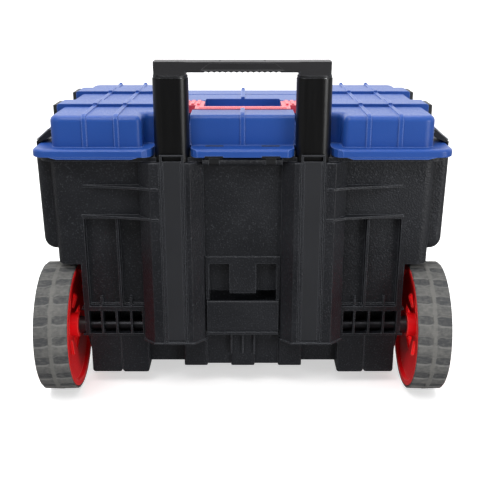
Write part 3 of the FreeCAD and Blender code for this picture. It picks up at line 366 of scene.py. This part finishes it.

# name: dark and pale tone, roughness, grains per metre, grain depth in metres, and what differs from plain
# The colour given for edges is a painted highlight and wear along them.
MOULDED = {
    "strip_plastic": ((0.0160, 0.0172, 0.0205), (0.020, 0.0214, 0.0255), 0.45, 900.0, 0.0002,
                      {"wear_and_highlight": BLACK_EDGE}),
    "rubber": ((0.012, 0.012, 0.012), (0.016, 0.016, 0.016), 0.7, 500.0, 0.0002, {}),
    "cap_rubber": ((0.016, 0.018, 0.018), (0.022, 0.024, 0.024), 0.5, 800.0, 0.0001, {}),
    "black_plastic": ((0.007, 0.0075, 0.009), (0.011, 0.0115, 0.013), 0.4, 900.0, 0.00012,
                      {"wear_and_highlight": BLACK_EDGE}),
    "hub_red": ((0.80, 0.006, 0.010), (0.90, 0.008, 0.014), 0.35, 900.0, 0.00005,
                {"specular": 0.35, "wear_and_highlight": (0.95, 0.16, 0.13)}),
    "nylon": ((0.70, 0.68, 0.63), (0.76, 0.74, 0.69), 0.5, 900.0, 0.0001, {}),
    "lid_blue": ((0.014, 0.066, 0.300), (0.018, 0.076, 0.335), 0.34, 750.0, 0.00016,
                 {"edge": 0.0012, "specular": 0.35, "wear_and_highlight": (0.13, 0.22, 0.58)}),
    "handle_red": ((0.66, 0.060, 0.10), (0.74, 0.080, 0.12), 0.30, 900.0, 0.0001,
                   {"wear_and_highlight": (0.85, 0.3, 0.32)}),
    "grip_plastic": ((0.012, 0.012, 0.0135), (0.017, 0.017, 0.019), 0.45, 700.0, 0.0002,
                     {"wear_and_highlight": (0.09, 0.09, 0.095)}),
    "button_plastic": ((0.03, 0.03, 0.032), (0.04, 0.04, 0.042), 0.45, 900.0, 0.0001, {}),
}
# name: colour and roughness
METALS = {
    "steel": ((0.60, 0.61, 0.63), 0.32),
    "axle_black": ((0.03, 0.03, 0.033), 0.45),
    "tube_alloy": ((0.55, 0.56, 0.57), 0.26),
}


def make_materials():
    made = {name: moulded(name, *values, **options) for name, (*values, options) in MOULDED.items()}
    made.update({name: metal(name, *values) for name, values in METALS.items()})
    dark, pale = (0.0072, 0.0080, 0.0106), (0.0122, 0.0133, 0.0170)
    made["tub_plastic"] = pebbled("tub_plastic", dark, pale, BLACK_EDGE)
    made["sleeve_black"] = sleeve_finish()
    made["tyre"] = tyre_finish()
    return made


def flat_faces(obj):
    """Keeps wide faces flat and turns the shading only over their rounded edges."""
    split = obj.modifiers.new("split", "EDGE_SPLIT")
    split.split_angle = math.radians(32.0)
    weighted = obj.modifiers.new("weighted", "WEIGHTED_NORMAL")
    weighted.mode = "FACE_AREA"
    weighted.weight = 80
    weighted.keep_sharp = True


def dress_nodes(materials):
    """Gives every CAD node the finish of its slot."""
    slots = {part["node"]: part["material_slot"] for part in frame["record"]["subparts"]}
    for name, obj in frame["nodes"].items():
        obj.data.materials.clear()
        obj.data.materials.append(materials[slots[name]])
        flat_faces(obj)


# ---- pieces ----------------------------------------------------------------------------------------
def mesh_object(name, verts, faces, material):
    mesh = bpy.data.meshes.new(name)
    mesh.from_pydata(verts, [], faces)
    mesh.materials.append(material)
    mesh.validate()
    mesh.update()
    obj = bpy.data.objects.new(name, mesh)
    scene.collection.objects.link(obj)
    return obj


def smooth_by_angle(obj, degrees):
    for polygon in obj.data.polygons:
        polygon.use_smooth = True
    split = obj.modifiers.new("split", "EDGE_SPLIT")
    split.split_angle = math.radians(degrees)


def tread(across, turn):
    """Depth under the full radius, tone from 0 in a gap to 1 on the band (painted shade in the gaps, painted
    light on the lugs and band), and nearness to a lug's end for a painted highlight.

    Across runs from -1 to 1 over the tread, and turn counts lugs round it.
    """
    side = abs(across)
    if side < BAND_HALF:
        return 0.0, 1.0, 0.0
    phase = turn + (LUG_LEAN[0] if across > 0 else LUG_LEAN[1]) * side
    lug = math.floor(phase + 0.5)
    phase -= lug
    flare = max(0.0, 1.0 - (side - BAND_HALF) / FLARE[1])
    reach = LUG_REACH + LUG_SPREAD * side + FLARE[0] * flare
    rise = min(1.0, max(0.0, (reach - abs(phase)) / FLANK))
    # nearness to a lug's end, for the painted highlight line
    ridge_highlight = max(0.0, 1.0 - abs(abs(phase) - reach) / RIDGE)
    web = min(1.0, (side - BAND_HALF) / WEB)
    crown = LUG_CROWN * min(1.0, abs(phase) / reach) * side
    gap = GAP_DEPTH * (GAP_RISE + (1.0 - GAP_RISE) * side)
    depth = web * (gap * (1.0 - rise) + crown * rise)
    shade = 0.5 + 0.5 * math.sin(SHADE_STEP * lug + (4.1 if across > 0 else 1.3))
    # painted light on the lugs and painted shade in the gaps, each lug a little different at random
    tone = rise * (0.48 + 0.30 * shade) + (1.0 - rise) * 0.22 * shade
    return depth, 1.0 - web * (1.0 - tone), web * ridge_highlight


def tyre_profile(width, radius, flange):
    """Points of the section: distance from the inner face, radius, and place across the tread or None."""
    seat = flange - 3.0 * MM
    lip = flange + 0.7 * MM
    wall, shoulder = 0.4 * MM, 2.4 * MM
    points = [(3.6 * MM, seat, None), (3.6 * MM, lip, None), (0.9 * MM, lip, None),
              (0.2 * MM, flange + 1.3 * MM, None), (wall, radius - 1.6 * MM, -1.0),
              (1.1 * MM, radius - 0.6 * MM, -1.0)]
    for i in range(COLUMNS + 1):
        t = i / COLUMNS
        points.append((shoulder + (width - 2 * shoulder) * t, radius, 2 * t - 1))
    points += [(width - 1.1 * MM, radius - 0.6 * MM, 1.0), (width - wall, radius - 1.8 * MM, 1.0),
               (width, radius - 4.0 * MM, None), (width, seat, None)]
    return points


def make_tyre(side, material):
    """A tyre with a smooth band between two rows of wedge lugs, and a groove where it meets the hub."""
    low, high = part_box("tyre_" + side)
    hub_low, hub_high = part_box("hub_" + side)
    centre_y, centre_z = (low.y + high.y) / 2, (low.z + high.z) / 2
    radius = (high.z - low.z) / 2
    flange = (hub_high.z - hub_low.z) / 2
    out = -1.0 if side == "left" else 1.0
    inner = low.x if out > 0 else high.x
    profile = tyre_profile(high.x - low.x, radius, flange)
    rings = LUGS * LUG_STEPS
    verts, faces, relief_shade, ridges = [], [], [], []
    for k in range(rings):
        angle = 2 * math.pi * k / rings
        for place, r, across in profile:
            height, ridge_highlight = 0.3, 0.0
            if across is not None:
                depth, height, ridge_highlight = tread(across, LUGS * k / rings)
                r = min(r, radius - depth)
            y, z = centre_y + r * math.cos(angle), centre_z + r * math.sin(angle)
            verts.append((inner + out * place, y, z))
            relief_shade.append(height)
            ridges.append(ridge_highlight)
    n = len(profile)
    for k in range(rings):
        ahead = ((k + 1) % rings) * n
        for j in range(n):
            a, b = k * n + j, k * n + (j + 1) % n
            c, d = ahead + (j + 1) % n, ahead + j
            faces.append((a, b, c, d) if out < 0 else (d, c, b, a))
    obj = mesh_object("tread_" + side, verts, faces, material)
    for layer_name, values in (("relief_shade", relief_shade), ("ridge_highlight", ridges)):
        layer = obj.data.attributes.new(layer_name, "FLOAT", "POINT")
        layer.data.foreach_set("value", values)
    smooth_by_angle(obj, 26.0)
    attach(obj, "wheel_" + side)
    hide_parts("tyre_" + side)


def make_springs(material):
    """The release button's return springs, copied from their CAD node to ride with the grip."""
    node = frame["nodes"]["button_springs"]
    obj = bpy.data.objects.new("return_springs", node.data.copy())
    obj.matrix_world = node.matrix_world.copy()
    obj.data.materials.clear()
    obj.data.materials.append(material)
    scene.collection.objects.link(obj)
    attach(obj, "grip")
    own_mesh(obj)
    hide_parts("button_springs")


add_camera()
add_world()
add_floor()
for light_name, settings in LIGHTS.items():
    area_light(light_name, *settings)
MATERIALS = make_materials()
dress_nodes(MATERIALS)
for wheel_side in ("left", "right"):
    make_tyre(wheel_side, MATERIALS["tyre"])
make_springs(MATERIALS["steel"])
